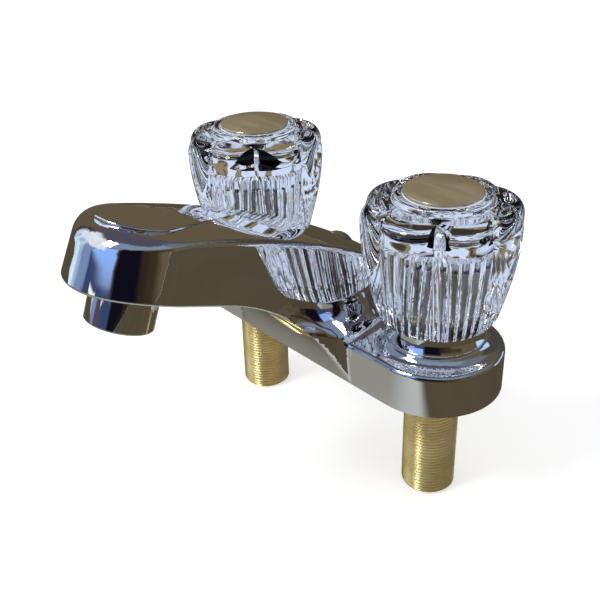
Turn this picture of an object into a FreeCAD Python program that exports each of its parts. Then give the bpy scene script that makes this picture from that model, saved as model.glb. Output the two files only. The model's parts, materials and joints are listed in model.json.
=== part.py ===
import FreeCAD, Part
import math
import os

# Frame: X runs along the two handles, the spout points to -Y, Z is up.
# The origin is the middle of the base's underside, which lies on the deck.
# Sizes are in millimetres.

V = FreeCAD.Vector
X_AXIS = V(1, 0, 0)
Z_AXIS = V(0, 0, 1)

# Base
handle_x = 50.8
base_r = 25.7
wing_z = 17.0
bead_r = 2.2
wall = 2.5
boss_r = 23.4
boss_top_r = 18.9
boss_z = 19.8
boss_belly = 0.36
valve_hole_r = 11.0

# Spout seen from the side
rail_hw = 22.0
crown_half = 30.0
crown_core = 4.0
crown_depth = 75.0
front_turn = 22.0
rear_turn = 60.0
ridge_z = 40.8
ridge_slope = math.degrees(math.atan(0.5535))
rail_r = 395.0
rear_r = 58.7
rear_trim = 0.8
crown_r = 170.0
edge_r = 2.6
front_edge_r = 10.0
rim_r = 0.9
under_y = -98.0
under_z = 58.7
under_deg = 21.2
arch_r = 84.0
chin_y = -94.0
chin_r = 88.0
chin_turn = 18.0

# Tapered sides and nose
nose_y = -88.8
nose_z = 66.0
nose_r = 23.74
taper_tilt = 17.0
taper_draft = 7.4
side_turn = 1.0
taper_reach = 90.0
side_l = 170.0

# Hollow flare between the spout's sides and the base
flare_l = 24.0
flare_w = 5.5
flare_end_y = 20.0
flare_end_l = 1.6
flare_end_w = 1.2
flare_turns = 4
flare_root = 1.5
flare_lift = 0.05

# Pad and plug
pad_y = -88.7
pad_r = 14.3
pad_tip_y = -56.0
pad_tip_r = 1.5
pad_rise = 1.4
pad_root_z = 62.0
pad_edge_r = 0.7
plug_y = 0.6
plug_dome_r = 4.6
plug_dome_h = 1.7
plug_pin_r = 3.0
plug_pin_l = 7.0
plug_gap = 0.1
plug_hole_l = 9.0

# Aerator
aer_y = -95.8
aer_r = 11.8
aer_edge = 0.6
aer_seat_r = 16.2
aer_seat_l = 12.0
aer_l = 14.8
aer_spigot_r = 10.6
aer_spigot_l = 6.5
aer_bore_l = 8.5
aer_wall = 1.9
aer_lip = 1.2
aer_lip_h = 1.4
insert_h = 9.0
insert_recess = 0.8
insert_holes = 12
insert_ring_r = 5.2
insert_hole_r = 0.9
insert_mid_r = 1.6
insert_rim = 1.2
screen_h = 0.6
washer_h = 1.5
washer_bore_r = 6.0
aer_gap = 0.1

# Water parts
gasket_h = 1.6
gasket_gap = 0.2
gasket_clear = 1.2
shank_r = 10.5
shank_l = 49.0
neck_r = 10.3
neck_l = 1.0
shank_bore_r = 6.5
shank_chamfer = 1.2
spigot_r = 8.5
spigot_l = 3.0
chamber_r = 13.5
chamber_z = 14.2
collar_r = 10.6
collar_z = 23.0
chamber_floor_z = 8.0
pipe_r = 5.4
pipe_bore_r = 3.5
pipe_z = 8.0
pipe_bore_z = 9.4
hub_y = -4.0
hub_r = 9.0
hub_z = 17.0
tube_r = 5.0
tube_bore_r = 4.0
tube_bend_z = 30.0
tube_bend_r = 12.0
tube_end_y = -80.5
tube_end_z = 63.2
tube_seat_l = 12.0
tube_lead_l = 9.0
tube_socket = 4.0
nose_solid_y = -76.0
fit_gap = 0.05

# Valve
valve_r = 8.5
valve_port_r = 1.6
valve_port_z = 10.0
port_room_r = 6.8
port_room_z = 12.0
port_disc_r = 6.6
port_gap = 0.2
port_r = 1.8
port_offset = 3.8
seat_pocket_r = 2.6
seat_pocket_l = 3.0
seat_hole_r = 1.6
spring_h = 1.5
spring_wire = 0.4
spring_turns = 2.0
seal_r = 2.5
seal_bore_r = 1.2
seal_gap = 0.1
stem_r = 4.5
stem_gap = 0.05
spline_r = 4.0
spline_z = 33.0
spline_teeth = 18
spline_tooth = 0.4
spline_lead = 0.2
stem_top_z = 50.0
groove_r = 3.3
groove_z = 16.0
groove_h = 1.5
ring_gap = 0.02
nut_af = 25.0
nut_bevel = 1.4
nut_z = 25.2
nut_hole_r = 5.6

# Bell ring
bell_foot_r = 18.3
bell_top_r = 16.2
bell_z = 27.5
bell_skin = 1.3
bell_hole_r = 8.0
bell_foot = 0.9
bell_waist = 0.42
bell_waist_out = 0.28
bell_edge = 0.8
bell_lip = 1.4

# Knob
knob_z = 28.5
knob_top_z = 73.5
knob_rim_r = 20.6
knob_foot_r = 22.4
knob_foot_z = 31.5
knob_wide_r = 28.8
knob_shoulder_z = 70.0
knob_crown_r = 25.8
knob_steps = 5
knob_edge_level = 0.65
knob_edge_out = 0.6
knob_edge_depth = 0.9
knob_top_depth = 0.7
knob_lobes = 8
lobe_depth = 2.8
lobe_rim_share = 0.12
cold_phase = -10.5
hot_phase = 4.8
flute_r = 17.4
flute_depth = 0.6
flute_count = 40
cavity_z = 52.0
knob_hub_r = 7.0
knob_hub_z = 33.0
ring_r = 17.5
ring_z = 76.0
recess_floor_z = 74.5
button_r = 13.9
button_z = 77.0
button_dome = 1.1
button_gap = 0.2
button_edge = 0.4
ring_edge = 0.6
screw_r = 2.0
screw_l = 14.0
screw_head_r = 3.8
screw_head_h = 3.0
screw_seat_z = 56.0
screw_slot_w = 1.0
screw_slot_l = 4.4
screw_slot_h = 1.6
screw_edge = 0.9
screw_tip = 0.5
screw_well_r = 4.3
far = 200.0

SIDES = {"hot": -1.0, "cold": 1.0}


def cylinder(x, y, z0, z1, r):
    return Part.makeCylinder(r, z1 - z0, V(x, y, z0), Z_AXIS)


def tube(x, y, z0, z1, r, bore):
    return cylinder(x, y, z0, z1, r).cut(cylinder(x, y, z0 - 1, z1 + 1, bore))


def face_of(*edges):
    return Part.Face(Part.Wire(list(edges)))


def polygon(points):
    return Part.Face(Part.makePolygon(points + points[:1]))


def arc3(a, b, c):
    return Part.Arc(a, b, c).toShape()


def line(a, b):
    return Part.LineSegment(a, b).toShape()


def lathe(points, x=0.0, y=0.0):
    profile = polygon([V(r, 0, z) for r, z in points])
    solid = profile.revolve(V(0, 0, 0), Z_AXIS, 360)
    solid.translate(V(x, y, 0))
    return solid


def stadium(r, z0, z1):
    a = V(-handle_x, -r, z0)
    b = V(handle_x, -r, z0)
    c = V(handle_x, r, z0)
    d = V(-handle_x, r, z0)
    outline = face_of(line(a, b), arc3(b, V(handle_x + r, 0, z0), c),
                      line(c, d), arc3(d, V(-handle_x - r, 0, z0), a))
    return outline.extrude(V(0, 0, z1 - z0))


def rounded(solid, radius, keep):
    edges = [e for e in solid.Edges if keep(e)]
    return solid.makeFillet(radius, edges)


def base_form(inset):
    bottom = 0.0 if inset == 0 else -1.0
    body = stadium(base_r - inset, bottom, wing_z - inset)
    if inset > 0:
        return body
    top = wing_z - 1e-3
    return rounded(body, bead_r, lambda e: e.BoundBox.ZMin > top)


def ridge_frame():
    a = math.radians(ridge_slope)
    return V(0, math.sin(a), math.cos(a))


def crown_sweep(radius, inset, turn_from, turn_to):
    # The crowned top: one section turned about a line along X below the ridge point.
    normal = ridge_frame()
    centre = V(0, 0, ridge_z) - normal * radius
    height = radius + crown_sag(rail_hw) - inset
    edge = radius + crown_sag(rail_hw) - inset - crown_sag(crown_half)
    low = radius - min(crown_depth, radius - crown_core)

    def at(x, h):
        return V(x, 0, 0) + centre + normal * h

    section = face_of(line(at(-crown_half, low), at(crown_half, low)),
                      line(at(crown_half, low), at(crown_half, edge)),
                      arc3(at(crown_half, edge), at(0, height), at(-crown_half, edge)),
                      line(at(-crown_half, edge), at(-crown_half, low)))
    section.rotate(centre, X_AXIS, turn_from)
    return section.revolve(centre, X_AXIS, turn_to - turn_from)


def crown_sag(x):
    # Fall of the crowned top from the middle out to a distance X.
    return crown_r - math.sqrt(crown_r ** 2 - x ** 2)


def top_form(inset):
    front = crown_sweep(rail_r, inset, 0.0, front_turn)
    rear = crown_sweep(rear_r, inset, -rear_turn, 0.0)
    return front.fuse(rear)


def taper_axes():
    # The taper's axis, the way ahead across it, and the right side's outward normal across it.
    a = math.radians(taper_tilt)
    turn = math.radians(side_turn)
    up = V(0, math.sin(a), math.cos(a))
    ahead = V(0, -up.z, up.y)
    side = X_AXIS * math.cos(turn) - ahead * math.sin(turn)
    return up, ahead, side


def taper_outline(level, inset):
    # A half round ahead and two sides that close in behind it, square to the taper's axis.
    up, ahead, side = taper_axes()
    turn = math.radians(side_turn)
    r = nose_r - level * math.tan(math.radians(taper_draft)) - inset
    centre = V(0, nose_y, nose_z) + up * level
    a = centre + side * r
    rear = a - (X_AXIS * math.sin(turn) + ahead * math.cos(turn)) * side_l
    b = V(-a.x, a.y, a.z)
    other_rear = V(-rear.x, rear.y, rear.z)
    return Part.Wire([arc3(a, centre + ahead * r, b), line(b, other_rear),
                      line(other_rear, rear), line(rear, a)])


def taper_form(inset):
    return Part.makeLoft([taper_outline(-taper_reach, inset), taper_outline(taper_reach, inset)],
                         True, True)


def flank_x(y, z):
    # Distance of the spout's right side from the middle at a given Y and Z.
    up, ahead, side = taper_axes()
    draft = math.radians(taper_draft)
    normal = side * math.cos(draft) + up * math.sin(draft)
    touch = V(0, nose_y, nose_z) + side * nose_r
    return normal.dot(touch - V(0, y, z)) / normal.x


def under_geometry():
    a = math.radians(under_deg)
    along = V(0, -math.cos(a), math.sin(a))
    down = V(0, -math.sin(a), -math.cos(a))
    point = V(0, under_y, under_z)
    foot = V(0, -base_r, 0)
    b = point + down * arch_r - foot
    dot = b.dot(along)
    step = -dot + math.sqrt(dot ** 2 - b.dot(b) + arch_r ** 2)
    centre = point + down * arch_r + along * step
    return along, down, centre


def chin_arc():
    # The arc in which the underside levels out under the nose: its ends, middle and centre.
    along, down, centre = under_geometry()
    start = V(0, chin_y, under_z - (chin_y - under_y) * math.tan(math.radians(under_deg)))

    def at(turn):
        a = math.radians(turn)
        return start + along * (chin_r * math.sin(a)) + down * (chin_r * (1 - math.cos(a)))

    return at(0), at(chin_turn / 2), at(chin_turn), start + down * chin_r


def under_cut(inset, half):
    # Everything under the spout; the nose is solid, so only the outside has the chin.
    along, down, centre = under_geometry()
    r = arch_r + inset
    touch = centre - down * r
    low = -2.0
    end_y = centre.y + math.sqrt(r ** 2 - (low - centre.z) ** 2)
    end = V(0, end_y, low)
    mid_dir = (touch - centre) + (end - centre)
    mid = centre + mid_dir * (r / mid_dir.Length)
    front = touch + along * (far / 2)
    edges = [line(front, touch)]
    if inset == 0:
        start, middle, tip, chin_centre = chin_arc()
        a = math.radians(under_deg - chin_turn)
        front = tip + V(0, -math.cos(a), math.sin(a)) * (far / 2)
        edges = [line(front, tip), arc3(tip, middle, start), line(start, touch)]
    base = low - 10
    outline = face_of(*edges, arc3(touch, mid, end), line(end, V(0, end.y, base)),
                      line(V(0, end.y, base), V(0, front.y, base)), line(V(0, front.y, base), front))
    outline.translate(V(-half, 0, 0))
    return outline.extrude(V(2 * half, 0, 0))


def spout_form(inset):
    body = taper_form(inset).common(top_form(inset))
    floor = 0.0 if inset == 0 else -1.0
    room = Part.makeBox(far, far, far, V(-far / 2, -far * 0.75, floor))
    body = body.common(room)
    body = body.cut(under_cut(inset, far / 2))
    rear = Part.makeBox(far, far, far, V(-far / 2, base_r - rear_trim - inset, -far / 2))
    return body.cut(rear)


def flare_section(y, z, turn, reach, width):
    # Section of the hollow flare at a point of the base, facing up at turn 0 and ahead at 90.
    a = math.radians(turn)
    out = V(0, -math.sin(a), math.cos(a))
    foot = V(0, y, z)

    def at(h, proud):
        p = foot + out * h
        return V(flank_x(p.y, p.z) + proud, p.y, p.z)

    toe = at(0, width)
    root = at(0, 0)
    top = at(reach, 0)
    curve = Part.BezierCurve()
    curve.setPoles([top, root, toe])
    low = toe - out * flare_root
    inner = root - out * flare_root - X_AXIS * flare_root
    back = top - X_AXIS * flare_root
    return Part.Wire([curve.toShape(), line(toe, low), line(low, inner), line(inner, back),
                      line(back, top)])


def bead_section(turn):
    # The flare's section at a turn round the base's rounded front edge.
    a = math.radians(turn)
    y = bead_r - base_r - bead_r * math.sin(a)
    z = wing_z - bead_r + bead_r * math.cos(a)
    reach = (flare_l + bead_r) / max(math.cos(a), math.sin(a)) - bead_r
    return flare_section(y, z, turn, reach, flare_w)


def flare_form():
    wires = [flare_section(flare_end_y, wing_z, 0, flare_end_l, flare_end_w)]
    for k in range(flare_turns + 1):
        wires.append(bead_section(90.0 * k / flare_turns))
    wires.append(flare_section(-base_r, 0, 90, flare_l, flare_w))
    parts = [Part.makeLoft(list(pair), True, True) for pair in zip(wires, wires[1:])]
    body = parts[0].multiFuse(parts[1:])
    body = body.cut(under_cut(flare_lift, far / 2))
    return [body, body.mirror(V(0, 0, 0), X_AXIS)]


def valve_boss(x):
    sweep = boss_z - wing_z
    run = boss_r - boss_top_r
    mid = V(boss_top_r + boss_belly * run, 0, wing_z + boss_belly * sweep)
    profile = face_of(line(V(0, 0, wing_z - 2), V(boss_r, 0, wing_z - 2)),
                      line(V(boss_r, 0, wing_z - 2), V(boss_r, 0, wing_z)),
                      arc3(V(boss_r, 0, wing_z), mid, V(boss_top_r, 0, boss_z)),
                      line(V(boss_top_r, 0, boss_z), V(0, 0, boss_z)),
                      line(V(0, 0, boss_z), V(0, 0, wing_z - 2)))
    solid = profile.revolve(V(0, 0, 0), Z_AXIS, 360)
    solid.translate(V(x, 0, 0))
    return solid


def pad_form():
    # Raised drop-shaped pad: level with the crown at its tip, proud of it at the front.
    reach = pad_tip_y - pad_y
    lean = math.asin((pad_r - pad_tip_r) / reach)
    tip_y = pad_tip_y - pad_tip_r
    s = math.cos(lean)
    c = math.sin(lean)
    z = pad_root_z
    a = V(pad_r * s, pad_y + pad_r * c, z)
    b = V(pad_tip_r * s, tip_y + pad_tip_r * c, z)
    a2 = V(-a.x, a.y, z)
    b2 = V(-b.x, b.y, z)
    outline = face_of(arc3(a, V(0, pad_y - pad_r, z), a2), line(a2, b2),
                      arc3(b2, V(0, pad_tip_y, z), b), line(b, a))
    body = outline.extrude(V(0, 0, far))
    span = pad_tip_y - (pad_y - pad_r)
    raised = crown_sweep(rail_r, 0.0, 0.0, front_turn)
    turn = math.degrees(math.atan(pad_rise / span))
    hinge = V(0, pad_tip_y, rail_height(pad_tip_y))
    raised.rotate(hinge, X_AXIS, -turn)
    pad = body.common(raised)
    top = max(pad.Faces, key=lambda f: f.CenterOfMass.z)
    return pad.makeFillet(pad_edge_r, top.Edges)


def rail_height(y):
    # Height of the top at the spout's middle for a given Y.
    normal = ridge_frame()
    r = rail_r + crown_sag(rail_hw)
    centre = V(0, 0, ridge_z) - normal * rail_r
    return centre.z + math.sqrt(r ** 2 - (y - centre.y) ** 2)


def aerator_frame():
    # Centre on the spout's underside and the direction in which the outlet points.
    a = math.radians(under_deg)
    z = under_z - (aer_y - under_y) * math.tan(a)
    return V(0, aer_y, z), V(0, -math.sin(a), -math.cos(a))


def along_outlet(start, length, r):
    point, out = aerator_frame()
    return Part.makeCylinder(r, length, point + out * start, out)


def tube_path():
    start = V(0, hub_y, hub_z - tube_socket)
    bend = V(0, hub_y, tube_bend_z)
    end = V(0, tube_end_y, tube_end_z)
    along = (end - bend).normalize()
    angle = math.acos(along.z)
    reach = tube_bend_r * math.tan(angle / 2)
    return start, bend, end, along, angle, reach


def tube_solid(r, extra):
    start, bend, end, along, angle, reach = tube_path()
    lower = Part.makeCylinder(r, bend.z - reach - start.z, start, Z_AXIS)
    disc = Part.Face(Part.Wire(Part.makeCircle(r, V(0, hub_y, bend.z - reach), Z_AXIS)))
    pivot = V(0, hub_y - tube_bend_r, bend.z - reach)
    elbow = disc.revolve(pivot, X_AXIS, math.degrees(angle))
    first = bend + along * reach
    upper = Part.makeCylinder(r, (end - first).Length + extra, first, along)
    return lower.multiFuse([elbow, upper])


def plug_frame():
    # The plug stands square to the top just behind the ridge point.
    normal = ridge_frame()
    top = rail_height(0.0)
    return V(0, plug_y, top - plug_y * math.tan(math.radians(ridge_slope))), normal


def nose_room():
    # Everything ahead of the plane where the right side turns into the nose.
    up, ahead, side = taper_axes()
    centre = V(0, nose_y, nose_z)
    corners = [centre + side * (far * i) + up * (far * j) for i, j in ((-1, -1), (1, -1), (1, 1), (-1, 1))]
    return polygon(corners).extrude(side.cross(up) * far)


def outer_spout():
    # The spout's outside, its top edge rounded more round the nose than along the sides.
    whole = spout_form(0.0)
    whole = whole.makeFillet(rim_r, [e for e in whole.Edges if on_rim(e)])
    right = whole.common(Part.makeBox(far, 2 * far, 2 * far, V(0, -far, -far)))
    nose = right.common(nose_room())
    sides = right.cut(nose_room())
    sides = sides.makeFillet(edge_r, [e for e in sides.Edges if on_top_edge(e)])
    edge = max([e for e in nose.Edges if near_top(middle_of(e))], key=lambda e: e.Length)
    radii = (edge_r, front_edge_r)
    if edge.valueAt(edge.FirstParameter).x < edge.valueAt(edge.LastParameter).x:
        radii = (front_edge_r, edge_r)
    nose = nose.makeFillet(radii[0], radii[1], [edge])
    return [p for h in (sides, nose) for p in (h, h.mirror(V(0, 0, 0), X_AXIS))]


def spout_shell():
    bosses = [valve_boss(s * handle_x) for s in SIDES.values()]
    outer = base_form(0.0).multiFuse(outer_spout() + [pad_form()] + bosses + flare_form())
    room = base_form(wall).fuse(spout_form(wall))
    keep = Part.makeBox(far, far, far, V(-far / 2, nose_solid_y, -far / 4))
    shell = outer.cut(room.common(keep))
    for s in SIDES.values():
        shell = shell.cut(cylinder(s * handle_x, 0, wing_z - wall - 1, boss_z + 1, valve_hole_r))
    shell = shell.cut(along_outlet(-aer_bore_l, aer_bore_l + 5, aer_spigot_r + fit_gap))
    shell = shell.cut(along_outlet(0.0, aer_seat_l, aer_seat_r))
    start, bend, end, along, angle, reach = tube_path()
    socket = Part.makeCylinder(tube_r + fit_gap, tube_seat_l, end - along * tube_seat_l, along)
    channel = Part.makeCylinder(tube_bore_r, tube_lead_l, end, along)
    shell = shell.cut(socket).cut(channel)
    point, normal = plug_frame()
    bottom = point - normal * plug_hole_l
    pin_hole = Part.makeCylinder(plug_pin_r + plug_gap, plug_hole_l + 3, bottom, normal)
    return shell.cut(pin_hole).removeSplitter()


def middle_of(edge):
    return edge.valueAt((edge.FirstParameter + edge.LastParameter) / 2)


def on_top_edge(edge):
    # Edges of the crowned top, from the nose round to the rear of the spout.
    mid = middle_of(edge)
    if not near_top(mid):
        return False
    if abs(mid.x) > rail_hw / 2:
        return mid.z > wing_z + 1 and edge.BoundBox.XLength < rail_hw / 2
    return mid.y < nose_y and edge.BoundBox.XLength > rail_hw


def near_top(p):
    if p.y > 0:
        centre = V(0, 0, ridge_z) - ridge_frame() * rear_r
        return abs((V(0, p.y, p.z) - centre).Length - rear_r) < 1.5
    return p.z > rail_height(p.y) - 1.6


def on_rim(edge):
    # Edges of the underside along both sides and round the nose.
    mid = middle_of(edge)
    along, down, centre = under_geometry()
    touch = centre - down * arch_r
    flat = abs((V(0, mid.y, mid.z) - touch).dot(down)) < 0.01 and mid.y < touch.y
    arch = abs((V(0, mid.y, mid.z) - centre).Length - arch_r) < 0.01 and mid.y >= touch.y
    chin_centre = chin_arc()[3]
    chin = abs((V(0, mid.y, mid.z) - chin_centre).Length - chin_r) < 0.01 and mid.y < chin_y
    if abs(mid.x) > rail_hw / 2:
        return edge.BoundBox.XLength < rail_hw / 2 and (flat or arch or chin)
    return chin and mid.y < nose_y and edge.BoundBox.XLength > rail_hw


def deck_gasket():
    plate = stadium(base_r - wall - gasket_gap, 0.0, gasket_h)
    front = -base_r + wall + gasket_clear
    plate = plate.cut(Part.makeBox(far, far, far, V(-far / 2, front - far, -far / 2)))
    for s in SIDES.values():
        plate = plate.cut(cylinder(s * handle_x, 0, -1, gasket_h + 1, shank_r + gasket_gap))
    return plate


def waterway():
    pipe = Part.makeCylinder(pipe_r, 2 * handle_x, V(-handle_x, 0, pipe_z), X_AXIS)
    solids = [cylinder(0, hub_y, gasket_h, hub_z, hub_r)]
    for s in SIDES.values():
        x = s * handle_x
        solids.append(cylinder(x, 0, gasket_h, chamber_z, chamber_r))
        solids.append(cylinder(x, 0, chamber_z, collar_z, collar_r))
    body = pipe.multiFuse(solids)
    inner = handle_x - valve_r + 1
    body = body.cut(Part.makeCylinder(pipe_bore_r, 2 * inner, V(-inner, 0, pipe_bore_z), X_AXIS))
    body = body.cut(cylinder(0, hub_y, pipe_bore_z, hub_z + 1, tube_bore_r))
    body = body.cut(cylinder(0, hub_y, hub_z - tube_socket, hub_z + 1, tube_r + fit_gap))
    for s in SIDES.values():
        x = s * handle_x
        body = body.cut(cylinder(x, 0, chamber_floor_z, collar_z + 1, valve_r + fit_gap))
        body = body.cut(cylinder(x, 0, 0, gasket_h + spigot_l, spigot_r + fit_gap))
        pocket = chamber_floor_z - seat_pocket_l
        body = body.cut(cylinder(x, -port_offset, pocket, chamber_floor_z + 1, seat_pocket_r))
        body = body.cut(cylinder(x, -port_offset, 0, chamber_floor_z, seat_hole_r))
    return body


def shank(x):
    return lathe([(shank_bore_r, -shank_l), (shank_r - shank_chamfer, -shank_l),
                  (shank_r, -shank_l + shank_chamfer), (shank_r, -neck_l), (neck_r, -neck_l),
                  (neck_r, gasket_h), (spigot_r, gasket_h), (spigot_r, gasket_h + spigot_l),
                  (shank_bore_r, gasket_h + spigot_l)], x)


def spout_tube():
    return tube_solid(tube_r, 0.0).cut(tube_bore())


def tube_bore():
    start, bend, end, along, angle, reach = tube_path()
    ends = Part.makeCylinder(tube_bore_r, 4, start - Z_AXIS * 2, Z_AXIS)
    return tube_solid(tube_bore_r, 2.0).fuse(ends)


def valve_body(x, s):
    body = tube(x, 0, chamber_floor_z, collar_z, valve_r, stem_r + stem_gap)
    body = body.cut(cylinder(x, 0, chamber_floor_z - 1, port_room_z, port_room_r))
    side = Part.makeCylinder(valve_port_r, 12, V(x, 0, valve_port_z), V(-s, 0, 0))
    return body.cut(side)


def bonnet_nut(x):
    corner = nut_af / 2 / math.cos(math.pi / 6)
    points = [V(x + corner * math.cos(math.pi / 3 * k), corner * math.sin(math.pi / 3 * k), boss_z)
              for k in range(6)]
    body = polygon(points).extrude(V(0, 0, nut_z - boss_z))
    cone = lathe([(0, boss_z - 1), (corner + nut_bevel, boss_z - 1), (corner + nut_bevel, nut_z - nut_bevel),
                  (corner - nut_bevel, nut_z), (0, nut_z)], x)
    body = body.common(cone)
    body = body.cut(cylinder(x, 0, boss_z - 1, collar_z + fit_gap, collar_r + fit_gap))
    return body.cut(cylinder(x, 0, collar_z, nut_z + 1, nut_hole_r))


def bell_ring(x):
    mid_z = boss_z + bell_foot + (bell_z - boss_z - bell_foot) * bell_waist
    mid_r = bell_top_r + (bell_foot_r - bell_top_r) * bell_waist_out
    return lathe([(bell_foot_r - bell_skin, boss_z), (bell_foot_r, boss_z),
                  (bell_foot_r, boss_z + bell_foot), (mid_r, mid_z), (bell_top_r, bell_z - bell_edge),
                  (bell_top_r - bell_edge, bell_z), (bell_hole_r, bell_z),
                  (bell_hole_r, bell_z - bell_lip), (bell_top_r - bell_skin, bell_z - bell_lip)], x)


def seat_seal(x):
    bottom = chamber_floor_z - seat_pocket_l + spring_h
    return tube(x, -port_offset, bottom, chamber_floor_z + port_gap - seal_gap, seal_r, seal_bore_r)


def seat_spring(x):
    bottom = chamber_floor_z - seat_pocket_l
    r = seal_r - 0.5
    rise = spring_h - spring_wire
    helix = Part.makeHelix(rise / spring_turns, rise, r)
    w = spring_wire / 2
    section = Part.makePolygon([V(r - w, 0, -w), V(r + w, 0, -w), V(r + w, 0, w), V(r - w, 0, w),
                                V(r - w, 0, -w)])
    coil = Part.Wire(helix).makePipeShell([section], True, True)
    coil.translate(V(x, -port_offset, bottom + w))
    return coil


def stem(x, s):
    bottom = chamber_floor_z + port_gap
    body = lathe([(0, bottom), (port_disc_r, bottom), (port_disc_r, port_room_z - port_gap),
                  (stem_r, port_room_z - port_gap), (stem_r, groove_z), (groove_r, groove_z),
                  (groove_r, groove_z + groove_h), (stem_r, groove_z + groove_h),
                  (stem_r, spline_z - 5 * spline_lead), (spline_r - spline_tooth, spline_z - spline_lead),
                  (spline_r - spline_tooth, stem_top_z), (0, stem_top_z)], x)
    teeth = spline(x, spline_r, spline_z, stem_top_z)
    body = body.fuse(teeth)
    body = body.cut(cylinder(x, 0, screw_seat_z - screw_l - 1, stem_top_z + 1, screw_r))
    port_x = x + s * port_offset
    return body.cut(cylinder(port_x, 0, bottom - 1, port_room_z + 0.5, port_r))


def spline(x, r, z0, z1):
    points = []
    for k in range(2 * spline_teeth):
        a = math.pi * k / spline_teeth
        q = r if k % 2 == 0 else r - spline_tooth
        points.append(V(x + q * math.cos(a), q * math.sin(a), z0))
    return polygon(points).extrude(V(0, 0, z1 - z0))


def stem_ring(x):
    return tube(x, 0, groove_z, groove_z + groove_h, stem_r - ring_gap, groove_r + ring_gap)


def lobe_wire(x, z, crest, depth, phase):
    edges = []
    step = 360.0 / knob_lobes
    valley = crest - depth

    def at(r, deg):
        a = math.radians(deg)
        return V(x + r * math.cos(a), r * math.sin(a), z)

    for k in range(knob_lobes):
        a = phase + step * k
        edges.append(arc3(at(valley, a), at(crest, a + step / 2), at(valley, a + step)))
    return Part.Wire(edges)


def knob_crest(z):
    # Radius of the lobes at a height between the knob's foot and its shoulder.
    t = (z - knob_foot_z) / (knob_shoulder_z - knob_foot_z)
    return knob_foot_r + (knob_wide_r - knob_foot_r) * math.sin(math.pi / 2 * t)


def knob_outer(x, phase):
    span = knob_shoulder_z - knob_foot_z
    wires = [lobe_wire(x, knob_z, knob_rim_r, lobe_depth * lobe_rim_share, phase)]
    for k in range(knob_steps + 1):
        t = k / knob_steps
        z = knob_foot_z + span * t
        depth = lobe_depth * (lobe_rim_share + (1 - lobe_rim_share) * t)
        wires.append(lobe_wire(x, z, knob_crest(z), depth, phase))
    edge_z = knob_shoulder_z + (knob_top_z - knob_shoulder_z) * knob_edge_level
    edge_crest = knob_crown_r + (knob_wide_r - knob_crown_r) * knob_edge_out
    wires.append(lobe_wire(x, edge_z, edge_crest, lobe_depth * knob_edge_depth, phase))
    wires.append(lobe_wire(x, knob_top_z, knob_crown_r, lobe_depth * knob_top_depth, phase))
    return Part.makeLoft(wires, True, True)


def flute_well(x):
    points = []
    for k in range(2 * flute_count):
        a = math.pi * k / flute_count
        q = flute_r if k % 2 == 0 else flute_r - flute_depth
        points.append(V(x + q * math.cos(a), q * math.sin(a), knob_z - 1))
    well = polygon(points).extrude(V(0, 0, cavity_z - knob_z + 1))
    return well.cut(cylinder(x, 0, knob_hub_z, cavity_z + 1, knob_hub_r))


def knob(x, phase):
    body = knob_outer(x, phase)
    body = body.fuse(lathe([(0, knob_top_z - 2), (ring_r + ring_edge, knob_top_z - 2),
                            (ring_r + ring_edge, knob_top_z), (ring_r, knob_top_z + ring_edge),
                            (ring_r, ring_z - ring_edge), (ring_r - ring_edge, ring_z), (0, ring_z)], x))
    body = body.cut(flute_well(x))
    body = body.cut(cylinder(x, 0, recess_floor_z, ring_z + 1, button_r + button_gap))
    body = body.cut(cylinder(x, 0, knob_hub_z - 1, stem_top_z, spline_r + fit_gap))
    body = body.cut(cylinder(x, 0, stem_top_z - 1, screw_seat_z + 1, screw_r + 2 * fit_gap))
    return body.cut(cylinder(x, 0, screw_seat_z, ring_z, screw_well_r))


def knob_screw(x):
    top = screw_seat_z + screw_head_h
    body = lathe([(0, screw_seat_z - screw_l), (screw_r - fit_gap - screw_tip, screw_seat_z - screw_l),
                  (screw_r - fit_gap, screw_seat_z - screw_l + screw_tip), (screw_r - fit_gap, screw_seat_z),
                  (screw_head_r, screw_seat_z), (screw_head_r, top - screw_edge), (screw_head_r - screw_edge, top),
                  (0, top)], x)
    for a, b in ((screw_slot_w, screw_slot_l), (screw_slot_l, screw_slot_w)):
        body = body.cut(Part.makeBox(a, b, screw_slot_h + 1, V(x - a / 2, -b / 2, top - screw_slot_h)))
    return body


def dome_height(r, rise, at_r):
    # Height over its rim of a ball-shaped dome, at a given radius.
    ball = (r ** 2 + rise ** 2) / (2 * rise)
    return rise - ball + math.sqrt(ball ** 2 - at_r ** 2)


def index_button(x):
    edge = button_r - button_edge
    points = [(0, recess_floor_z), (button_r, recess_floor_z), (button_r, button_z - button_edge),
              (edge, button_z)]
    for share in (0.66, 0.33):
        r = edge * share
        points.append((r, button_z + dome_height(edge, button_dome, r)))
    return lathe(points + [(0, button_z + button_dome)], x)


def on_outlet_axis(profile):
    # Turns a profile of radius and depth about the outlet's axis.
    point, out = aerator_frame()
    face = polygon([point + X_AXIS * r + out * d for r, d in profile])
    return face.revolve(point, out, 360)


def aerator_housing():
    inner = aer_spigot_r - aer_wall
    return on_outlet_axis([(inner, -aer_spigot_l), (aer_spigot_r, -aer_spigot_l),
                           (aer_spigot_r, 0), (aer_r, 0), (aer_r, aer_l - aer_edge),
                           (aer_r - aer_edge, aer_l), (aer_r - aer_wall - aer_lip, aer_l),
                           (aer_r - aer_wall - aer_lip, aer_l - aer_lip_h), (inner, aer_l - aer_lip_h)])


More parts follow.
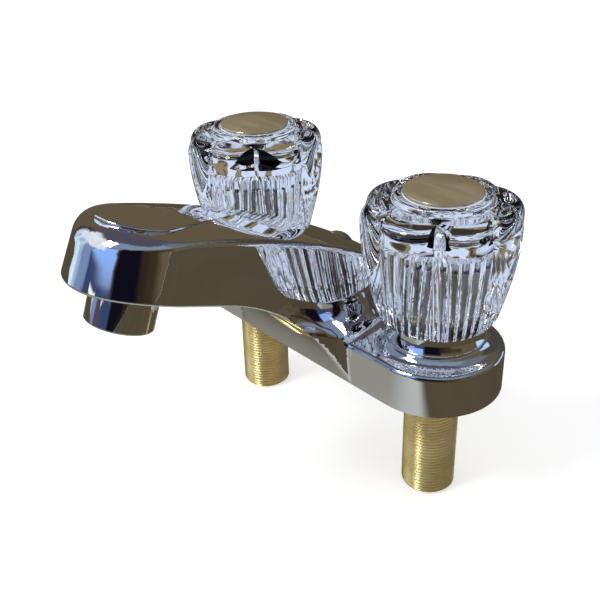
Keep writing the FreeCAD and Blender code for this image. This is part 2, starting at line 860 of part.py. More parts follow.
def aerator_insert():
    r = aer_spigot_r - aer_wall - aer_gap
    bottom = aer_l - aer_lip_h
    body = along_outlet(bottom - insert_h, insert_h, r)
    body = body.cut(along_outlet(bottom - insert_recess, insert_recess + 1, r - insert_rim))
    point, out = aerator_frame()
    for k in range(insert_holes):
        a = 2 * math.pi * k / insert_holes
        side = X_AXIS * math.cos(a) + out.cross(X_AXIS) * math.sin(a)
        start = point + side * insert_ring_r + out * (bottom - insert_h - 1)
        body = body.cut(Part.makeCylinder(insert_hole_r, insert_h + 2, start, out))
    return body.cut(along_outlet(bottom - insert_h - 1, insert_h + 2, insert_mid_r))


def aerator_screen():
    r = aer_spigot_r - aer_wall - aer_gap
    return along_outlet(aer_l - aer_lip_h - insert_h - screen_h, screen_h, r)


def aerator_washer():
    r = aer_spigot_r - 2 * fit_gap
    body = along_outlet(-aer_spigot_l - washer_h, washer_h, r)
    return body.cut(along_outlet(-aer_spigot_l - washer_h - 1, washer_h + 2, washer_bore_r))


def lift_rod_plug():
    point, normal = plug_frame()
    seat = 0.0
    mid = plug_dome_r / 2

    def at(r, h):
        return point + X_AXIS * r + normal * h

    profile = face_of(line(at(0, -plug_pin_l), at(plug_pin_r, -plug_pin_l)),
                      line(at(plug_pin_r, -plug_pin_l), at(plug_pin_r, seat)),
                      line(at(plug_pin_r, seat), at(plug_dome_r, seat)),
                      arc3(at(plug_dome_r, seat), at(mid, dome_height(plug_dome_r, plug_dome_h, mid)),
                           at(0, plug_dome_h)),
                      line(at(0, plug_dome_h), at(0, -plug_pin_l)))
    return profile.revolve(point, normal, 360)


def build():
    nodes = {"spout_shell": spout_shell(), "deck_gasket": deck_gasket(), "waterway": waterway(),
             "spout_tube": spout_tube(), "aerator_housing": aerator_housing(),
             "aerator_insert": aerator_insert(), "aerator_screen": aerator_screen(),
             "aerator_washer": aerator_washer(), "lift_rod_plug": lift_rod_plug()}
    for side, s in SIDES.items():
        x = s * handle_x
        phase = hot_phase if side == "hot" else cold_phase
        nodes[side + "_shank"] = shank(x)
        nodes[side + "_valve_body"] = valve_body(x, s)
        nodes[side + "_bonnet_nut"] = bonnet_nut(x)
        nodes[side + "_bell_ring"] = bell_ring(x)
        nodes[side + "_seat_seal"] = seat_seal(x)
        nodes[side + "_seat_spring"] = seat_spring(x)
        nodes[side + "_stem"] = stem(x, s)
        nodes[side + "_stem_ring"] = stem_ring(x)
        nodes[side + "_knob"] = knob(x, phase)
        nodes[side + "_knob_screw"] = knob_screw(x)
        nodes[side + "_index_button"] = index_button(x)
    return nodes


os.makedirs("parts", exist_ok=True)
for name, shape in build().items():
    solids = shape.Solids
    print(name, "solids", len(solids), "valid", shape.isValid(), "volume", round(shape.Volume, 1))
    if len(solids) == 1:
        shape = solids[0]
    shape.exportStep("parts/" + name + ".step")
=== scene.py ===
import json
import math

import bmesh
import bpy
from mathutils import Matrix, Vector

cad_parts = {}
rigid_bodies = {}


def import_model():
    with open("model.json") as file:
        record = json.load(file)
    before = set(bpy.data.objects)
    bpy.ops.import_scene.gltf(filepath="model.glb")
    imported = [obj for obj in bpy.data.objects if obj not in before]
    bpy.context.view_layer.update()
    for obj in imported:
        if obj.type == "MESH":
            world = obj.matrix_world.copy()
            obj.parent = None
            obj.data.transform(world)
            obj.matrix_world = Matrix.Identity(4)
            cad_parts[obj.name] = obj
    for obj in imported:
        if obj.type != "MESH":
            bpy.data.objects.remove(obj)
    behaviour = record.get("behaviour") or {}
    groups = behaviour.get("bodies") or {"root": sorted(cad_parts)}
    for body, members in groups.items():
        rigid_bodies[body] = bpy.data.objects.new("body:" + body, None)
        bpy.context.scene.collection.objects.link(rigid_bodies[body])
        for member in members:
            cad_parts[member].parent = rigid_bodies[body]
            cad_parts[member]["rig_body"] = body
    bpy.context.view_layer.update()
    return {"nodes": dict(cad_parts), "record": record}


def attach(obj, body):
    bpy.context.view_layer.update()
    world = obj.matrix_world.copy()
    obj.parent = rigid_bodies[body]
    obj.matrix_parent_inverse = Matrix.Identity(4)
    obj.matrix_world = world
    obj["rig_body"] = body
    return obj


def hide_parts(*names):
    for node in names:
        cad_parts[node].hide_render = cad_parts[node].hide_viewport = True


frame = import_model()
scene = bpy.context.scene

# Sizes in metres. Each piece has its solid's extents within 0.01 mm, except that the back of the
# index disc lies 0.3 mm higher. Known differences inside them: the thread, which the solids leave
# plain; the knob's well, 8.5 mm higher, its flutes, 0.5 mm deeper, its rounder shoulder and its
# ring, 0.1 mm wider in radius; the bell ring's skirt, a curve instead of straight runs.
HANDLE_X = 0.0508
SIDE = {"cold": HANDLE_X, "hot": -HANDLE_X}

SHANK_R, SHANK_BORE, SHANK_END, SHANK_CHAMFER = 0.0105, 0.0065, -0.049, 0.0012
NECK_R, NECK_Z = 0.0103, -0.001
SPIGOT_R, SPIGOT_TOP = 0.0085, 0.0046
GASKET_H = 0.0016

THREAD_TOP, THREAD_PITCH, THREAD_DEPTH = -0.0015, 0.00141, 0.0007
THREAD_ROOT, THREAD_FLANK = 0.14, 0.68      # shares of half a pitch
THREAD_WALL = 0.0022                        # only points this near the outside are cut
ROWS_A_TURN = 10

LOBES, LOBE_DEPTH, LOBE_FOOT = 8, 0.0028, 0.12
FLUTES, FLUTE_R, FLUTE_DEPTH, FLUTE_EDGE = 40, 0.0174, 0.0011, 0.7
KNOB_FOOT_Z, WELL_Z = 0.0285, 0.0605
PHASE = {"cold": math.radians(-10.5), "hot": math.radians(4.8)}

# Distances at which points are joined, and angles past which an edge stays sharp
DOUBLES, SHELL_DOUBLES, SLIVER = 2e-6, 6e-5, 1e-7
COPY_ANGLE, TURNED_ANGLE, THREAD_ANGLE, KNOB_ANGLE = 28.0, 30.0, 60.0, 24.0

# Camera at the photograph's place
CAMERA_AT = Vector((0.2340996, -0.2242329, 0.1961891))
AZIMUTH, ELEVATION, ROLL = (math.radians(a) for a in (49.1496, 29.4180, -1.5999))
LENS, SENSOR = 54.406, 36.0

# Studio
WHITE, BLACK = (1.0, 1.0, 1.0), (0.0, 0.0, 0.0)
WORLD_LEVEL = 0.55                          # on the object; what is seen of the world is 1
FLOOR_Z, FLOOR_HALF, FLOOR_LIFT = -0.0492, 3.0, 0.49
WALL_R, CLOTH_R, CLOTH_Z = 1.6, 1.58, FLOOR_Z + 0.0004
STAGE_GLOW = 1.18

# Cards of the staged dome: colour, azimuth from and to (0 is -Y, 90 is +X), height from and to,
# softness of the edge, all in degrees. A later card lies over an earlier one.
CARDS = (
    ((0.19, 0.25, 0.36), -20, 142, 36, 60, 5),
    ((0.13, 0.15, 0.19), 110, 170, 30, 62, 8),
    ((0.055, 0.052, 0.048), -200, -152, -20, 34, 4),
    ((0.055, 0.052, 0.048), 152, 200, -20, 34, 4),
    ((0.42, 0.62, 0.90), 143, 174, -3, 12, 2),
    ((0.048, 0.036, 0.021), 58, 102, 8, 24, 6),
    ((0.036, 0.027, 0.015), 50, 77, -10, 24, 7),
    ((0.18, 0.25, 0.42), -52, -21, -6, 22, 4),
    ((0.26, 0.45, 0.92), -24, 15, 13, 34, 2),
    ((0.035, 0.060, 0.150), -27, 17, -4, 12.6, 1.5),
    ((0.005, 0.004, 0.010), 17, 56, -3, 33, 3),
    ((0.085, 0.060, 0.090), -30, -8, -6, 7, 3),
    ((0.026, 0.018, 0.010), 52, 62, -8, 24, 4),
    ((0.030, 0.034, 0.038), -80, -76, -14, 40, 1.5),
    ((0.085, 0.088, 0.100), -60, 24, -25, -1, 3),
    ((0.030, 0.022, 0.012), 34, 76, -25, -2, 6),
    ((0.95, 0.97, 0.95), -17, -5, 9.7, 10.9, 0.4),
    ((0.55, 0.20, 0.07), -17, -6, 8.6, 9.7, 0.4),
)


def make_camera():
    back = Vector((math.sin(AZIMUTH) * math.cos(ELEVATION),
                   -math.cos(AZIMUTH) * math.cos(ELEVATION), math.sin(ELEVATION)))
    right = Vector((0, 0, 1)).cross(back).normalized()
    up = back.cross(right)
    c, s = math.cos(ROLL), math.sin(ROLL)
    x, y = c * right + s * up, c * up - s * right
    data = bpy.data.cameras.new("camera")
    data.lens, data.sensor_width = LENS, SENSOR
    data.clip_start, data.clip_end = 0.005, 20.0
    cam = bpy.data.objects.new("camera", data)
    scene.collection.objects.link(cam)
    cam.matrix_world = Matrix((
        (x[0], y[0], back[0], CAMERA_AT[0]),
        (x[1], y[1], back[1], CAMERA_AT[1]),
        (x[2], y[2], back[2], CAMERA_AT[2]),
        (0, 0, 0, 1)))
    scene.camera = cam


# Node trees
class Sock:
    """A socket in a node tree that takes part in plain expressions."""

    def __init__(self, tree, out):
        self.tree, self.out = tree, out

    def maths(self, op, *others):
        n = self.tree.nodes.new("ShaderNodeMath")
        n.operation = op
        for i, v in enumerate((self, *others)):
            feed(self.tree, v, n.inputs[i])
        return Sock(self.tree, n.outputs[0])

    def __add__(self, o): return self.maths("ADD", o)
    def __radd__(self, o): return self.maths("ADD", o)
    def __sub__(self, o): return self.maths("SUBTRACT", o)
    def __mul__(self, o): return self.maths("MULTIPLY", o)
    def __rmul__(self, o): return self.maths("MULTIPLY", o)
    def __truediv__(self, o): return self.maths("DIVIDE", o)
    def __pow__(self, o): return self.maths("POWER", o)
    def __lt__(self, o): return self.maths("LESS_THAN", o)
    def __gt__(self, o): return self.maths("GREATER_THAN", o)
    def __rsub__(self, o): return self * -1.0 + o

    def clip(self, lo, hi):
        """0 below lo, 1 above hi, smooth between."""
        n = self.tree.nodes.new("ShaderNodeMapRange")
        n.interpolation_type = "SMOOTHSTEP"
        for name, v in (("Value", self), ("From Min", lo), ("From Max", hi)):
            feed(self.tree, v, n.inputs[name])
        return Sock(self.tree, n.outputs["Result"])

    def share(self):
        """Held between 0 and 1, with straight sides."""
        return self.maths("MAXIMUM", 0.0).maths("MINIMUM", 1.0)

    def between(self, lo, hi, soft):
        """1 from lo to hi, with soft edges."""
        return self.clip(lo - soft, lo + soft) * (1.0 - self.clip(hi - soft, hi + soft))


def feed(tree, value, socket):
    if isinstance(value, Sock):
        tree.links.new(value.out, socket)
    elif isinstance(value, (tuple, list)) and len(value) == 3 and socket.type == "RGBA":
        socket.default_value = (*value, 1.0)
    else:
        socket.default_value = value


class Nodes:
    """A node tree whose nodes are made by type, settings and inputs."""

    def __init__(self, tree):
        self.tree = tree
        tree.nodes.clear()

    def node(self, kind, settings=None, out=0, **values):
        """An input is named with _ for a space, or i and its number."""
        n = self.tree.nodes.new(kind)
        for k, v in (settings or {}).items():
            setattr(n, k, v)
        for k, v in values.items():
            key = int(k[1:]) if k[0] == "i" and k[1:].isdigit() else k.replace("_", " ")
            feed(self.tree, v, n.inputs[key])
        return Sock(self.tree, n.outputs[out])

    def parts(self, vector):
        first = self.node("ShaderNodeSeparateXYZ", i0=vector)
        return [Sock(self.tree, o) for o in first.out.node.outputs]

    def ray(self, kind):
        """1 for rays of one kind, 0 for the others."""
        return self.node("ShaderNodeLightPath", out=f"Is {kind} Ray")

    def seen(self):
        """1 for rays of the camera, of mirrors and of clear pieces."""
        mirrored = self.ray("Camera").maths("MAXIMUM", self.ray("Glossy"))
        return mirrored.maths("MAXIMUM", self.ray("Transmission"))


class Material(Nodes):
    """A material whose patterns read the object's own coordinates."""

    def __init__(self, name):
        self.mat = bpy.data.materials.new(name)
        self.mat.use_nodes = True
        super().__init__(self.mat.node_tree)
        self.output = self.tree.nodes.new("ShaderNodeOutputMaterial")

    def place(self):
        return self.node("ShaderNodeTexCoord", out="Object")

    def noise(self, scale, detail=2.0, rough=0.5, vector=None):
        return self.node("ShaderNodeTexNoise", Vector=vector or self.place(), Scale=scale,
                         Detail=detail, Roughness=rough)

    def stretched(self, x, y, z):
        return self.node("ShaderNodeMapping", Vector=self.place(), Scale=(x, y, z))

    def mix(self, share, a, b):
        return self.node("ShaderNodeMix", {"data_type": "RGBA"}, out=2, i0=share, i6=a, i7=b)

    def bump(self, height, strength, distance):
        return self.node("ShaderNodeBump", Height=height, Strength=strength, Distance=distance)

    def surface(self, shader):
        self.tree.links.new(shader.out, self.output.inputs["Surface"])
        return self.mat

    def shade(self, **values):
        return self.surface(self.node("ShaderNodeBsdfPrincipled", **values))


# Finishes
def chrome():
    m = Material("chrome")
    haze = m.noise(35.0, 3.0, 0.6)
    tint = m.mix(haze.clip(0.35, 0.65), (0.83, 0.83, 0.85), (0.87, 0.87, 0.88))
    return m.shade(Base_Color=tint, Metallic=1.0, Roughness=haze.clip(0.45, 0.75) * 0.02 + 0.02)


def brass():
    m = Material("brass")
    cloud = m.noise(120.0, 4.0, 0.6)
    tint = m.mix(cloud.clip(0.35, 0.7), (0.90, 0.73, 0.34), (0.74, 0.57, 0.22))
    return m.shade(Base_Color=tint, Metallic=0.7, Roughness=cloud * 0.2 + 0.14)


def old_brass():
    """Brass of the inner parts, painted darker as the shade under the knob."""
    m = Material("old_brass")
    cloud = m.noise(140.0, 4.0, 0.6)
    # painted shade: far darker than the shanks' brass, standing in for the shade under the knob
    tint = m.mix(cloud.clip(0.35, 0.7), (0.24, 0.18, 0.10), (0.15, 0.11, 0.06))
    return m.shade(Base_Color=tint, Metallic=1.0, Roughness=cloud * 0.2 + 0.2)


def copper():
    m = Material("copper")
    cloud = m.noise(90.0, 4.0, 0.6)
    tint = m.mix(cloud.clip(0.35, 0.7), (0.85, 0.48, 0.33), (0.62, 0.31, 0.20))
    return m.shade(Base_Color=tint, Metallic=1.0, Roughness=cloud * 0.2 + 0.2)


def acrylic():
    m = Material("clear_acrylic")
    swirl = m.noise(25.0, 2.0, 0.5)
    tint = m.mix(swirl.clip(0.4, 0.6), (0.975, 0.982, 0.99), (0.985, 0.99, 0.99))
    return m.shade(Base_Color=tint, Transmission_Weight=1.0, IOR=1.49,
                   Roughness=swirl.clip(0.5, 0.8) * 0.01)


def rubber():
    m = Material("black_rubber")
    grain = m.noise(900.0, 3.0, 0.6)
    tint = m.mix(grain, (0.02, 0.02, 0.02), (0.05, 0.05, 0.05))
    return m.shade(Base_Color=tint, Roughness=grain * 0.2 + 0.55)


def plastic(name, dark, light):
    m = Material(name)
    grain = m.noise(500.0, 3.0, 0.6)
    return m.shade(Base_Color=m.mix(grain, dark, light), Roughness=grain * 0.2 + 0.4)


def steel():
    m = Material("steel")
    cloud = m.noise(300.0, 3.0, 0.6)
    tint = m.mix(cloud, (0.60, 0.60, 0.61), (0.72, 0.72, 0.73))
    return m.shade(Base_Color=tint, Metallic=1.0, Roughness=cloud * 0.2 + 0.2)


def woven_steel():
    """The aerator's screen, with square wires and painted shade in the openings between them."""
    spacing = 0.0008
    m = Material("woven_steel")
    x, y, _ = m.parts(m.place())
    turn = 2 * math.pi / spacing
    wires = (x * turn).maths("SINE").maths("MAXIMUM", (y * turn).maths("SINE"))
    # painted shade: near black between the wires stands in for the dark openings of the screen
    tint = m.mix(wires.clip(0.0, 0.8), (0.05, 0.05, 0.05), (0.66, 0.66, 0.68))
    return m.shade(Base_Color=tint, Metallic=1.0, Roughness=0.3,
                   Normal=m.bump(wires, 0.6, 0.0002))


def disc_metal():
    """Bright disc with a faint grain. Its white back glows a little, because the renderer lets
    no diffuse light through the clear knob."""
    back_z, front_z = 0.0755, 0.0762
    m = Material("clear_cap")
    haze = m.noise(30.0, 3.0, 0.6, m.stretched(1.0, 4.0, 1.0))
    front = m.parts(m.place())[2].clip(back_z, front_z)
    tint = m.mix(haze.clip(0.40, 0.62), (0.56, 0.47, 0.30), (0.72, 0.62, 0.42))
    return m.shade(Base_Color=m.mix(front, (0.86, 0.90, 0.97), tint), Metallic=front * 0.55,
                   Emission_Color=m.mix(front, (0.40, 0.47, 0.62), BLACK), Emission_Strength=1.0,
                   Roughness=haze * 0.06 + 0.10, Coat_Weight=front, Coat_Roughness=0.02)


# Pieces
def put(obj, node, mat):
    obj.data.materials.clear()
    obj.data.materials.append(mat)
    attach(obj, BODY[node])
    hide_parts(node)


def linked(name, data):
    obj = bpy.data.objects.new(name, data)
    scene.collection.objects.link(obj)
    return obj


def applied(obj, mod):
    """The mesh that the object's modifier gives. The modifier is removed."""
    graph = bpy.context.evaluated_depsgraph_get()
    mesh = bpy.data.meshes.new_from_object(obj.evaluated_get(graph))
    obj.modifiers.remove(mod)
    return mesh


def finished(mesh, angle, merge=DOUBLES):
    """Joins doubles, turns the faces outwards and shades smooth between the sharp edges."""
    bm = bmesh.new()
    bm.from_mesh(mesh)
    bmesh.ops.remove_doubles(bm, verts=bm.verts, dist=merge)
    bmesh.ops.dissolve_degenerate(bm, dist=SLIVER, edges=bm.edges)
    bmesh.ops.recalc_face_normals(bm, faces=bm.faces)
    bm.to_mesh(mesh)
    bm.free()
    mesh.polygons.foreach_set("use_smooth", [True] * len(mesh.polygons))
    mesh.set_sharp_from_angle(angle=math.radians(angle))
    return mesh


def even(obj):
    """Gives large faces more say in the shading, so that flat sides stay flat."""
    mod = obj.modifiers.new("even", "WEIGHTED_NORMAL")
    mod.weight, mod.keep_sharp = 60, True
    obj.data = applied(obj, mod)
    return obj


def smooth_copy(node, merge=DOUBLES):
    name = node + "_smooth"
    mesh = frame["nodes"][node].data.copy()
    mesh.name = name
    mesh.materials.clear()
    return even(linked(name, finished(mesh, COPY_ANGLE, merge)))


def lathe(name, profile, x, sectors, start=0.0, closed=True):
    """Turns a profile of (radius, height, lobe share, flute share) about a handle's axis."""
    verts, rings, faces, shares = [], [], [], []
    for r, z, *share in profile:
        count = 1 if r == 0 else sectors
        rings.append([len(verts) + k for k in range(count)])
        for k in range(count):
            a = start + 2 * math.pi * k / sectors
            verts.append((x + r * math.cos(a), r * math.sin(a), z))
            shares.append((share + [0.0, 0.0])[:2])
    pairs = list(zip(rings, rings[1:])) + ([(rings[-1], rings[0])] if closed else [])
    for a, b in pairs:
        for k in range(sectors):
            j = (k + 1) % sectors
            corners = [a[k % len(a)], a[j % len(a)], b[j % len(b)], b[k % len(b)]]
            faces.append(list(dict.fromkeys(corners)))
    mesh = bpy.data.meshes.new(name)
    mesh.from_pydata(verts, [], faces)
    for i, label in enumerate(("lobe", "flute")):
        values = mesh.attributes.new(label, "FLOAT", "POINT").data
        values.foreach_set("value", [s[i] for s in shares])
    return linked(name, mesh)


def arc(r, z, size, from_deg, to_deg, steps):
    """Points of a rounding about a centre in the profile's plane."""
    out = []
    for k in range(steps + 1):
        a = math.radians(from_deg + (to_deg - from_deg) * k / steps)
        out.append((r + size * math.cos(a), z + size * math.sin(a)))
    return out


def run(a, b, steps):
    """Points along a straight line, without its first."""
    return [tuple(p + (q - p) * k / steps for p, q in zip(a, b)) for k in range(1, steps + 1)]


# Geometry trees
class Form(Nodes):
    """A tree of geometry nodes with named inputs, which ends in real faces and a material."""

    def __init__(self, name, **inputs):
        tree = bpy.data.node_groups.new(name, "GeometryNodeTree")
        super().__init__(tree)
        mesh_kind, number_kind = "NodeSocketGeometry", "NodeSocketFloat"
        tree.interface.new_socket(name="Mesh", in_out="INPUT", socket_type=mesh_kind)
        self.keys = {}
        for k, v in inputs.items():
            item = tree.interface.new_socket(name=k, in_out="INPUT", socket_type=number_kind)
            item.default_value = v
            self.keys[k] = item.identifier
        tree.interface.new_socket(name="Mesh", in_out="OUTPUT", socket_type=mesh_kind)
        self.entry = tree.nodes.new("NodeGroupInput")
        self.exit = tree.nodes.new("NodeGroupOutput")

    def given(self, name):
        return Sock(self.tree, self.entry.outputs[name])

    def about_axis(self):
        """X and Y from the axis at Centre, radius, turn in radians and height."""
        x, y, z = self.parts(self.node("GeometryNodeInputPosition"))
        dx = x - self.given("Centre")
        return dx, y, (dx * dx + y * y).maths("SQRT"), y.maths("ARCTAN2", dx), z

    def moved(self, chosen, dx, y, share):
        """Moves the chosen points along their radius by a share of it."""
        by = self.node("ShaderNodeCombineXYZ", X=dx * share, Y=y * share)
        return self.node("GeometryNodeSetPosition", Geometry=self.given("Mesh"),
                         Selection=chosen, Offset=by)

    def close(self, made, mat):
        real = self.node("GeometryNodeRealizeInstances", Geometry=made)
        done = self.node("GeometryNodeSetMaterial", Geometry=real, Material=mat)
        self.tree.links.new(done.out, self.exit.inputs[0])

    def apply(self, obj, angle, **values):
        mod = obj.modifiers.new("form", "NODES")
        mod.node_group = self.tree
        for k, v in values.items():
            mod[self.keys[k]] = v
        obj.data = finished(applied(obj, mod), angle)
        return obj


def thread_form(mat):
    """A single-start screw thread cut into the outside of a turned shank."""
    f = Form("thread", Centre=0.0, Radius=SHANK_R, Pitch=THREAD_PITCH, Depth=THREAD_DEPTH,
             Top=THREAD_TOP)
    dx, y, r, turn, z = f.about_axis()
    along = z / f.given("Pitch") - turn / (2 * math.pi)
    ridge = (along.maths("FRACT") * 2.0 - 1.0).maths("ABSOLUTE")
    tooth = ((ridge - THREAD_ROOT) / THREAD_FLANK).share()
    fade = ((f.given("Top") - z) / f.given("Pitch")).share()
    cut = f.given("Radius") - f.given("Depth") * fade * (1.0 - tooth)
    outer = (r > f.given("Radius") - THREAD_WALL) * (z < f.given("Top"))
    f.close(f.moved(outer, dx, y, r.maths("MINIMUM", cut) / r - 1.0), mat)
    return f


def knob_form(mat):
    """Rounded lobes outside and fine flutes in the well of a turned knob."""
    f = Form("knob", Centre=0.0, Phase=0.0, Lobes=LOBES, Depth=LOBE_DEPTH, Flutes=FLUTES,
             Flute_Depth=FLUTE_DEPTH)
    dx, y, r, turn, _ = f.about_axis()
    lobes_on = (turn - f.given("Phase")) * f.given("Lobes") / (2 * math.pi)
    t = lobes_on.maths("FRACT") * 2.0 - 1.0
    lobe = t * t
    flute = ((turn * f.given("Flutes")).maths("COSINE") * 0.5 + 0.5) ** FLUTE_EDGE
    share = {k: f.node("GeometryNodeInputNamedAttribute", {"data_type": "FLOAT"}, Name=k)
             for k in ("lobe", "flute")}
    cut = (share["lobe"] * f.given("Depth") * lobe
           + share["flute"] * f.given("Flute_Depth") * flute)
    f.close(f.moved(True, dx, y, cut / r * -1.0), mat)
    return f


def shank(side, form):
    x = SIDE[side]
    rows = round((THREAD_TOP - SHANK_END) / THREAD_PITCH * ROWS_A_TURN)
    profile = [(SHANK_BORE, SHANK_END), (SHANK_R - SHANK_CHAMFER, SHANK_END)]
    profile += run(profile[-1], (SHANK_R, SHANK_END + SHANK_CHAMFER), 7)
    profile += run(profile[-1], (SHANK_R, THREAD_TOP), rows)
    profile += [(SHANK_R, NECK_Z), (NECK_R, NECK_Z), (NECK_R, GASKET_H), (SPIGOT_R, GASKET_H),
                (SPIGOT_R, SPIGOT_TOP), (SHANK_BORE, SPIGOT_TOP)]
    return form.apply(lathe(side + "_shank_threaded", profile, x, 96), THREAD_ANGLE, Centre=x)


def knob_profile():
    """Outside from the rim to the crown, ring, recess, screw well, hub and fluted well."""
    rim_r = 0.0206
    foot_r, foot_z, wide_r, wide_z, shoulder_r = 0.0224, 0.0315, 0.02879, 0.0672, 0.0063
    side_rows, shoulder_rows, shoulder_loss = 28, 14, 0.1
    out = [(rim_r, KNOB_FOOT_Z, LOBE_FOOT)]
    for k in range(side_rows + 1):
        t = k / side_rows
        out.append((foot_r + (wide_r - foot_r) * math.sin(math.pi / 2 * t),
                    foot_z + (wide_z - foot_z) * t, LOBE_FOOT + (1 - LOBE_FOOT) * t))
    shoulder = arc(wide_r - shoulder_r, wide_z, shoulder_r, 0, 82, shoulder_rows)[1:]
    for k, (r, z) in enumerate(shoulder, 1):
        out.append((r, z, 1.0 - shoulder_loss * k / shoulder_rows))
    out += run(out[-1], (0.0186, 0.0739, 0.25), 5)

    # Raised ring round the disc
    out += arc(0.0182, 0.0744, 0.0006, 280, 180, 3)[1:]
    out += arc(0.0164, 0.0748, 0.0012, 0, 90, 5) + arc(0.0149, 0.0752, 0.0008, 90, 180, 4)

    # Recess of the disc, then the well of the screw's head, its hole and the stem's socket
    recess_r, recess_z = 0.0141, 0.0745
    head_r, head_z, hole_r = 0.0043, 0.056, 0.0021
    socket_r, socket_z, hub_r, hub_z = 0.00405, 0.05, 0.007, 0.033
    out += [(recess_r, recess_z), (head_r, recess_z), (head_r, head_z), (hole_r, head_z),
            (hole_r, socket_z), (socket_r, socket_z), (socket_r, hub_z), (hub_r, hub_z)]

    # Hub and fluted well
    hub_fillet, flute_drop = 0.0012, 0.0014
    top = (FLUTE_R, WELL_Z - flute_drop, 0.0, 1.0)
    out += run((hub_r, hub_z), (hub_r, WELL_Z - hub_fillet), 3)
    out += [(hub_r + hub_fillet, WELL_Z), (0.0156, WELL_Z), top]
    out += run(top, (FLUTE_R, KNOB_FOOT_Z, 0.0, 1.0), 8)
    return out


def knob(side, form):
    x, phase = SIDE[side], PHASE[side]
    obj = lathe(side + "_knob_lobed", knob_profile(), x, FLUTES * 8, phase)
    return form.apply(obj, KNOB_ANGLE, Centre=x, Phase=phase)


def bell(side):
    """Bell ring: a flared skirt, a rounded lip and a hollow inside."""
    foot_r, top_r, foot_z, top_z = 0.0183, 0.0162, 0.0198, 0.0275
    land, edge, lip, hole_r, wall, crown = 0.0007, 0.0003, 0.0008, 0.008, 0.0013, 0.0014
    flare, steps = 2.4, 10
    low, high = foot_z + land + edge, top_z - lip
    out = [(foot_r, foot_z), (foot_r, foot_z + land)]
    out += arc(foot_r - edge, foot_z + land, edge, 0, 90, 3)[1:]
    for k in range(1, steps + 1):
        t = k / steps
        out.append((top_r + (foot_r - edge - top_r) * (1 - t) ** flare, low + (high - low) * t))
    out += arc(top_r - lip, high, lip, 0, 90, 4)[1:]
    out += [(hole_r, top_z), (hole_r, top_z - crown), (top_r - wall, top_z - crown),
            (foot_r - wall, foot_z)]
    obj = lathe(side + "_bell_turned", out, SIDE[side], 128)
    finished(obj.data, TURNED_ANGLE)
    return obj


def button(side):
    """Index disc: a flat back, a rounded edge and a low dome."""
    rim, back_z, top_z, rise, edge, steps = 0.0139, 0.0748, 0.077, 0.0011, 0.0004, 12
    out = [(0.0, back_z), (rim, back_z)] + arc(rim - edge, top_z - edge, edge, 0, 90, 4)
    flat = rim - edge
    ball = (flat ** 2 + rise ** 2) / (2 * rise)
    for k in range(steps - 1, -1, -1):
        r = flat * k / steps
        out.append((r, top_z + rise - ball + math.sqrt(ball ** 2 - r ** 2)))
    obj = lathe(side + "_button_domed", out, SIDE[side], 96, closed=False)
    finished(obj.data, TURNED_ANGLE)
    return obj


# Studio
def staged(name, mesh, mat):
    obj = linked(name, mesh)
    mesh.materials.append(mat)
    return obj


def make_world():
    world = bpy.data.worlds.new("studio")
    scene.world = world
    world.use_nodes = True
    w = Nodes(world.node_tree)
    level = w.seen() * (1.0 - WORLD_LEVEL) + WORLD_LEVEL
    back = w.node("ShaderNodeBackground", Color=WHITE, Strength=level)
    out = w.tree.nodes.new("ShaderNodeOutputWorld")
    w.tree.links.new(back.out, out.inputs["Surface"])


def make_floor():
    """Pale floor: what is seen of it gets near white, and it keeps the shadow."""
    m = Material("pale_floor")
    tint = m.mix(m.noise(3.0, 2.0, 0.5), (0.90, 0.90, 0.90), (0.93, 0.93, 0.93))
    paint = m.node("ShaderNodeBsdfDiffuse", Color=tint)
    lift = m.node("ShaderNodeEmission", Color=WHITE, Strength=m.seen() * FLOOR_LIFT)
    m.surface(m.node("ShaderNodeAddShader", i0=paint, i1=lift))
    corners = ((-1, -1), (1, -1), (1, 1), (-1, 1))
    mesh = bpy.data.meshes.new("floor")
    mesh.from_pydata([(a * FLOOR_HALF, b * FLOOR_HALF, FLOOR_Z) for a, b in corners],
                     [], [(0, 1, 2, 3)])
    staged("floor", mesh, m.mat)


def only_in_reflections(obj):
    """The object shows in metal and through clear pieces, and neither lights nor shades."""
    obj.visible_camera = obj.visible_diffuse = obj.visible_shadow = False


def behind_glass(m, pattern):
    """What only rays through the clear knobs meet: bright patches between tan and dark ones."""
    tan = m.mix(pattern.clip(0.39, 0.42), (0.030, 0.024, 0.018), (0.26, 0.205, 0.120))
    return m.mix(pattern.clip(0.465, 0.50), tan, (0.64, 0.76, 1.0))


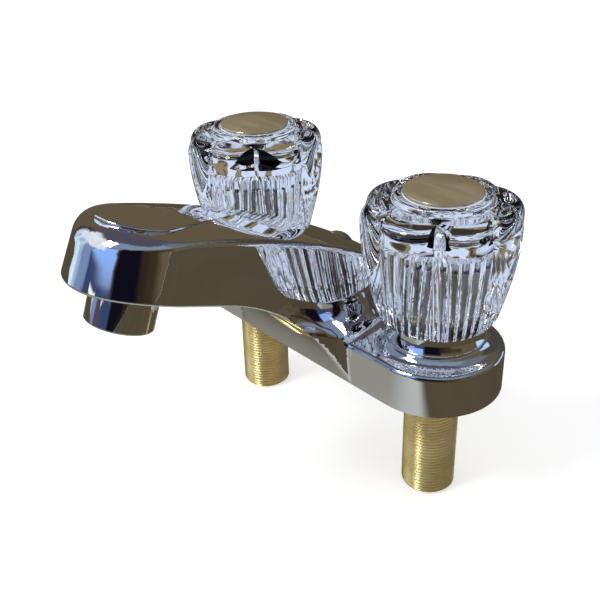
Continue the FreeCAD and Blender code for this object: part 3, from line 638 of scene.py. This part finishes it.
def make_wall():
    """A dome of coloured cards with an opening to the white world, instead of a plain studio.
    Metal mirrors it. Rays through the clear pieces meet a pattern of their own."""
    degrees = 180 / math.pi
    m = Material("studio_wall")
    x, y, z = m.parts(m.place())
    az = x.maths("ARCTAN2", y * -1.0) * degrees
    el = (z / WALL_R).maths("ARCSINE") * degrees
    cloud = m.noise(2.2, 4.0, 0.6, m.stretched(1.0, 1.0, 0.5))
    paint = m.mix(cloud, (0.090, 0.070, 0.041), (0.132, 0.103, 0.062))
    paint = m.mix(el.clip(30.0, 60.0), paint, (0.073, 0.070, 0.096))
    for colour, a0, a1, e0, e1, soft in CARDS:
        paint = m.mix(az.between(a0, a1, soft) * el.between(e0, e1, soft), paint, colour)

    # Bright veil, then the opening with its pale blue pane
    veil = m.noise(4.0, 5.0, 0.7, m.stretched(1.0, 1.0, 0.35))
    paint = m.mix(az.between(-74, -46, 3) * el.between(-3, 26, 3), paint,
                  m.mix(veil.clip(0.35, 0.65), (0.26, 0.38, 0.58), (0.74, 0.90, 1.0)))
    pane = az.between(-72, -8, 5) * el.between(23, 50, 4)
    window = pane * (veil.clip(0.2, 0.75) * 0.4 + 0.5)
    paint = m.mix(pane, paint, (0.30, 0.46, 0.72))

    across = m.node("ShaderNodeCombineXYZ", X=az / 90.0, Y=el / 400.0)
    stripe = m.noise(15.0, 1.5, 0.5, across)
    paint = m.mix(m.ray("Transmission") * 0.85, paint, behind_glass(m, stripe))
    glow = m.node("ShaderNodeEmission", Color=paint, Strength=STAGE_GLOW)
    clear = m.node("ShaderNodeBsdfTransparent")
    m.surface(m.node("ShaderNodeMixShader", i0=window, i1=glow, i2=clear))

    bm = bmesh.new()
    bmesh.ops.create_uvsphere(bm, u_segments=96, v_segments=48, radius=WALL_R)
    mesh = bpy.data.meshes.new("studio_wall")
    bm.to_mesh(mesh)
    bm.free()
    only_in_reflections(staged("studio_wall", mesh, m.mat))


def make_cloth():
    """A round cloth on the floor for metal to mirror, grey in front and brown elsewhere.
    Rays through the clear pieces meet a pattern of their own here too."""
    sides = 64
    m = Material("studio_cloth")
    x, y, _ = m.parts(m.place())
    cloud = m.noise(9.0, 4.0, 0.6)
    brown = m.mix(cloud, (0.062, 0.050, 0.029), (0.092, 0.075, 0.046))
    grey = m.mix(x.clip(-0.01, 0.075), (0.26, 0.26, 0.225), (0.43, 0.45, 0.44))
    front = (1.0 - x.clip(0.085, 0.110)) * (1.0 - y.clip(-0.05, 0.01)) * x.clip(-0.34, -0.22)
    patches = behind_glass(m, m.noise(15.0, 1.5, 0.5))
    paint = m.mix(m.ray("Transmission") * 0.9, m.mix(front, brown, grey), patches)
    m.surface(m.node("ShaderNodeEmission", Color=paint, Strength=STAGE_GLOW))
    turns = [math.tau * k / sides for k in range(sides)]
    mesh = bpy.data.meshes.new("studio_cloth")
    mesh.from_pydata([(CLOTH_R * math.cos(a), CLOTH_R * math.sin(a), CLOTH_Z) for a in turns],
                     [], [tuple(range(sides))])
    only_in_reflections(staged("studio_cloth", mesh, m.mat))


def lamp(name, at, aim, size, power):
    data = bpy.data.lights.new(name, "AREA")
    data.shape, data.size, data.energy = "SQUARE", size, power
    obj = linked(name, data)
    obj.location = at
    obj.rotation_mode = "QUATERNION"
    obj.rotation_quaternion = (Vector(aim) - Vector(at)).to_track_quat("-Z", "Y")


scene.view_settings.view_transform = "Standard"
make_camera()
make_world()
make_floor()
make_wall()
make_cloth()
lamp("softbox", at=(-0.22, -0.85, 0.95), aim=(0, 0, 0.02), size=0.34, power=5.5)

MATS = {"chrome": chrome(), "brass": brass(), "copper": copper(), "clear_acrylic": acrylic(),
        "clear_cap": disc_metal(), "black_rubber": rubber(), "steel": steel(),
        "white_plastic": plastic("white_plastic", (0.70, 0.70, 0.66), (0.80, 0.80, 0.76)),
        "grey_plastic": plastic("grey_plastic", (0.28, 0.30, 0.32), (0.36, 0.38, 0.40))}
SLOTS = {s["node"]: s["material_slot"] for s in frame["record"]["subparts"]}
BODY = {n: o["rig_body"] for n, o in frame["nodes"].items()}

# Nodes whose finish differs from their slot's, by the last words of their names
# painted shade: the inner brass parts take a darker brass that stands in for the shade under the
# knob
brass_in_painted_shade = old_brass()
SPECIAL = {"stem": brass_in_painted_shade, "bonnet_nut": brass_in_painted_shade, "valve_body": brass_in_painted_shade,
           "screen": woven_steel()}

made = {"spout_shell": smooth_copy("spout_shell", SHELL_DOUBLES)}
thread, lobes = thread_form(MATS["brass"]), knob_form(MATS["clear_acrylic"])
for side in ("hot", "cold"):
    made[side + "_shank"] = shank(side, thread)
    made[side + "_knob"] = knob(side, lobes)
    made[side + "_bell_ring"] = bell(side)
    made[side + "_index_button"] = button(side)

for node, slot in sorted(SLOTS.items()):
    mat = SPECIAL.get(node.split("_", 1)[-1]) or MATS[slot]
    put(made.get(node) or smooth_copy(node), node, mat)

bpy.context.view_layer.update()
